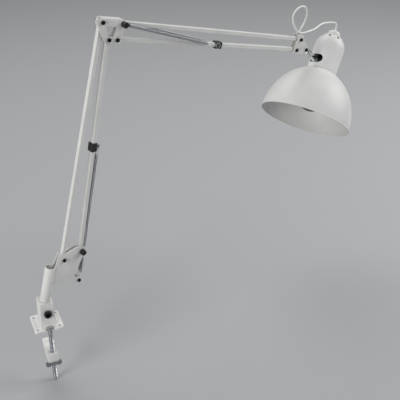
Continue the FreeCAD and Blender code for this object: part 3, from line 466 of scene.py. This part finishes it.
# ---------------------------------------------------------------- friction knobs
# Round knobs moulded in the same black nylon, with grip flutes and a shallow dished
# face. Two clamp the arm's pivots and a wider one locks the post in the tower.
near_axis = arm_place.to_3x3() @ Vector((0.0, -1.0, 0.0))
grip_depth = 0.0069
grip_radius = 0.0046
points_to_flute = 4
flute_share = 0.93
rim_share = 0.2
dish_slope_share = 0.12
dish_depth_share = 0.12
rim_round_share = 0.06
level_edge = 0.000001
for node, body, flutes in (
    ("base_knob", "base_grip", 14), ("elbow_knob", "elbow_grip", 14), ("lock_knob", "lock", 20),
):
    low, high = (Vector(corner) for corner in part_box(node))
    middle = (low + high) / 2
    if node == "lock_knob":
        axis, depth, radius = Vector((0.0, -1.0, 0.0)), high.y - low.y, (high.x - low.x) / 2
    else:
        axis, depth, radius = near_axis, grip_depth, grip_radius
    knob_form = bmesh.new()
    bmesh.ops.create_circle(knob_form, cap_ends=True, segments=flutes * points_to_flute, radius=radius)
    for number, vertex in enumerate(knob_form.verts):
        if number % points_to_flute >= points_to_flute / 2:
            vertex.co *= flute_share
    raised = bmesh.ops.extrude_face_region(knob_form, geom=knob_form.faces[:])
    top_verts = [item for item in raised["geom"] if isinstance(item, bmesh.types.BMVert)]
    bmesh.ops.translate(knob_form, verts=top_verts, vec=(0.0, 0.0, depth))
    top_face = max(knob_form.faces, key=lambda face: face.calc_center_median().z)
    bmesh.ops.inset_individual(knob_form, faces=[top_face], thickness=radius * rim_share)
    bmesh.ops.inset_individual(knob_form, faces=[top_face], thickness=radius * dish_slope_share)
    bmesh.ops.translate(knob_form, verts=top_face.verts, vec=(0.0, 0.0, -depth * dish_depth_share))
    bmesh.ops.recalc_face_normals(knob_form, faces=knob_form.faces)
    rims = [
        edge for edge in knob_form.edges
        if edge.calc_face_angle(0.0) > square_edge
        and abs(edge.verts[0].co.z - edge.verts[1].co.z) < level_edge
    ]
    bmesh.ops.bevel(
        knob_form, geom=rims, offset=radius * rim_round_share, segments=2, profile=0.5, affect="EDGES",
        material=-1,
        clamp_overlap=True,
    )
    turn = axis.to_track_quat("Z", "Y").to_matrix().to_4x4()
    back = Matrix.Translation(middle - axis.normalized() * depth / 2)
    bmesh.ops.transform(knob_form, verts=knob_form.verts, matrix=back @ turn)
    knob_mesh = bpy.data.meshes.new(node + "_fluted")
    knob_form.to_mesh(knob_mesh)
    knob_form.free()
    knob = bpy.data.objects.new(node + "_fluted", knob_mesh)
    bpy.context.collection.objects.link(knob)
    knob_mesh.materials.append(black_nylon)
    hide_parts(node)
    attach(knob, body)

# ---------------------------------------------------------------- balance springs
# Two pairs of close-wound tension springs in cold-drawn steel wire, plated after they
# are wound, so the wire is bright with a few duller lengths. Each coil runs between the
# straight leaders of its own hooks.
spring_wire = 0.0009
coil_pitch = 0.00104
wire_sides = 6
coil_steps = 12
plated_wire = bpy.data.materials.new("plated_spring_wire")
plated_wire.use_nodes = True
place = add(plated_wire, "ShaderNodeTexCoord", {})
draw = add(plated_wire, "ShaderNodeTexNoise", {"Scale": 240.0, "Detail": 3.0}, [(place, "Object", "Vector")])
dull = add(plated_wire, "ShaderNodeMapRange", {"To Min": 0.22, "To Max": 0.4}, [(draw, "Fac", "Value")])
wire = plated_wire.node_tree.nodes["Principled BSDF"]
wire.inputs["Metallic"].default_value = 1.0
wire.inputs["Base Color"].default_value = linear("B4B6B9")
plated_wire.node_tree.links.new(dull.outputs["Result"], wire.inputs["Roughness"])
# Foot and tip of each coil in the arm's frame, as x and z, then how far each spring of
# the pair stands to the side, and the coil's outer radius.
coil_rows = (
    (
        "lower_springs", "low_spring", "low_spring_end",
        (0.060809, 0.03299), (0.050984, 0.244989), 0.0024, 0.00215,
    ),
    (
        "upper_springs", "high_spring", "high_spring_end",
        (0.063865, 0.447926), (0.226363, 0.421757), 0.0066, 0.0027,
    ),
)
for node, low_body, high_body, foot, tip, spread, outer in coil_rows:
    run = math.hypot(tip[0] - foot[0], tip[1] - foot[1])
    turns = int(run / coil_pitch)
    section_form = bmesh.new()
    bmesh.ops.create_circle(section_form, segments=wire_sides, radius=spring_wire / 2)
    stand = Matrix.Translation((outer - spring_wire / 2, 0.0, 0.0)) @ Matrix.Rotation(math.pi / 2, 4, "X")
    bmesh.ops.transform(section_form, verts=section_form.verts, matrix=stand)
    section_mesh = bpy.data.meshes.new(node + "_section")
    section_form.to_mesh(section_mesh)
    section_form.free()
    section = bpy.data.objects.new(node + "_section", section_mesh)
    bpy.context.collection.objects.link(section)
    winding = section.modifiers.new("winding", "SCREW")
    winding.axis = "Z"
    winding.screw_offset = run / turns
    winding.iterations = turns
    winding.steps = coil_steps
    winding.render_steps = coil_steps
    bpy.context.view_layer.update()
    wound_object = section.evaluated_get(bpy.context.evaluated_depsgraph_get())
    wound_mesh = bpy.data.meshes.new_from_object(wound_object)
    bpy.data.objects.remove(section)
    coil_form = bmesh.new()
    for side in (-1, 1):
        before = set(coil_form.verts)
        coil_form.from_mesh(wound_mesh)
        wound = [vertex for vertex in coil_form.verts if vertex not in before]
        along = Vector((tip[0] - foot[0], 0.0, tip[1] - foot[1]))
        turn = along.to_track_quat("Z", "Y").to_matrix().to_4x4()
        seat = arm_place @ Matrix.Translation((foot[0], side * spread, foot[1])) @ turn
        bmesh.ops.transform(coil_form, verts=wound, matrix=seat)
    bmesh.ops.recalc_face_normals(coil_form, faces=coil_form.faces)
    coil_mesh = bpy.data.meshes.new(node + "_wound")
    coil_form.to_mesh(coil_mesh)
    coil_form.free()
    coil_mesh.shade_smooth()
    coil = bpy.data.objects.new(node + "_wound", coil_mesh)
    bpy.context.collection.objects.link(coil)
    coil_mesh.materials.append(plated_wire)
    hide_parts(node)
    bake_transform(coil)
for node in ("lower_spring_hooks", "lower_spring_eyes", "upper_spring_hooks", "upper_spring_eyes"):
    dress(node, plated_wire)

# ---------------------------------------------------------------- shade
# Dome and slotted neck are spun from thin steel sheet and sprayed satin white inside
# and out. The cap over the neck is a white moulding, finished to match. The spray dries
# with a texture 1.4 mm across and faint clouds about 70 mm wide.
shade_enamel = bpy.data.materials.new("sprayed_satin_enamel")
shade_enamel.use_nodes = True
place = add(shade_enamel, "ShaderNodeTexCoord", {})
mottle = add(
    shade_enamel, "ShaderNodeTexNoise", {"Scale": 14.0, "Detail": 5.0}, [(place, "Object", "Vector")],
)
spray = add(
    shade_enamel, "ShaderNodeTexNoise", {"Scale": 700.0, "Detail": 2.0}, [(place, "Object", "Vector")],
)
tone = add(shade_enamel, "ShaderNodeValToRGB", {}, [(mottle, "Fac", "Fac")])
tone.color_ramp.elements[0].position = 0.3
tone.color_ramp.elements[0].color = linear("D3D3D0")
tone.color_ramp.elements[1].position = 0.7
tone.color_ramp.elements[1].color = linear("DCDCDA")
sheen = add(shade_enamel, "ShaderNodeMapRange", {"To Min": 0.42, "To Max": 0.52}, [(mottle, "Fac", "Value")])
relief = add(
    shade_enamel, "ShaderNodeBump", {"Strength": 0.08, "Distance": 0.0002}, [(spray, "Fac", "Height")],
)
enamel = shade_enamel.node_tree.nodes["Principled BSDF"]
enamel.inputs["IOR"].default_value = 1.5
shade_enamel.node_tree.links.new(tone.outputs["Color"], enamel.inputs["Base Color"])
shade_enamel.node_tree.links.new(sheen.outputs["Result"], enamel.inputs["Roughness"])
shade_enamel.node_tree.links.new(relief.outputs["Normal"], enamel.inputs["Normal"])
for node in ("shade_dome", "shade_neck", "neck_cap"):
    dress(node, shade_enamel)

# ---------------------------------------------------------------- lamp holder and bulb
# A screw holder and its ring, moulded in black phenolic, take a glass bulb with a
# nickelled brass cap. The moulding is glossy, with dull flow marks about 8 mm apart.
phenolic = bpy.data.materials.new("black_phenolic")
phenolic.use_nodes = True
place = add(phenolic, "ShaderNodeTexCoord", {})
flow = add(phenolic, "ShaderNodeTexNoise", {"Scale": 120.0, "Detail": 3.0}, [(place, "Object", "Vector")])
polish = add(phenolic, "ShaderNodeMapRange", {"To Min": 0.2, "To Max": 0.35}, [(flow, "Fac", "Value")])
resin = phenolic.node_tree.nodes["Principled BSDF"]
resin.inputs["Base Color"].default_value = linear("161514")
phenolic.node_tree.links.new(polish.outputs["Result"], resin.inputs["Roughness"])
dress("lamp_holder", phenolic)
dress("holder_ring", phenolic)
# Nickel plate over brass: warm grey metal that tarnishes unevenly.
nickel = bpy.data.materials.new("nickelled_brass")
nickel.use_nodes = True
place = add(nickel, "ShaderNodeTexCoord", {})
tarnish = add(nickel, "ShaderNodeTexNoise", {"Scale": 150.0, "Detail": 3.0}, [(place, "Object", "Vector")])
film = add(nickel, "ShaderNodeMapRange", {"To Min": 0.2, "To Max": 0.4}, [(tarnish, "Fac", "Value")])
plate = nickel.node_tree.nodes["Principled BSDF"]
plate.inputs["Metallic"].default_value = 1.0
plate.inputs["Base Color"].default_value = linear("C8C2B4")
nickel.node_tree.links.new(film.outputs["Result"], plate.inputs["Roughness"])
dress("bulb_cap", nickel)
# Blown soda glass, smooth with a slow ripple from the blowing. Its grey tint is painted shade: the clear bulb
# is darkened as if it mirrored a dark room.
soda_glass = bpy.data.materials.new("blown_soda_glass")
soda_glass.use_nodes = True
place = add(soda_glass, "ShaderNodeTexCoord", {})
ripple = add(soda_glass, "ShaderNodeTexNoise", {"Scale": 60.0, "Detail": 2.0}, [(place, "Object", "Vector")])
relief = add(
    soda_glass, "ShaderNodeBump", {"Strength": 0.05, "Distance": 0.0002}, [(ripple, "Fac", "Height")],
)
envelope = soda_glass.node_tree.nodes["Principled BSDF"]
# The grey base colour is painted shade, standing in for dark reflections in clear glass.
envelope.inputs["Base Color"].default_value = linear("5C6062")
envelope.inputs["Roughness"].default_value = 0.03
envelope.inputs["IOR"].default_value = 1.5
envelope.inputs["Transmission Weight"].default_value = 1.0
soda_glass.node_tree.links.new(relief.outputs["Normal"], envelope.inputs["Normal"])
dress("bulb_glass", soda_glass)
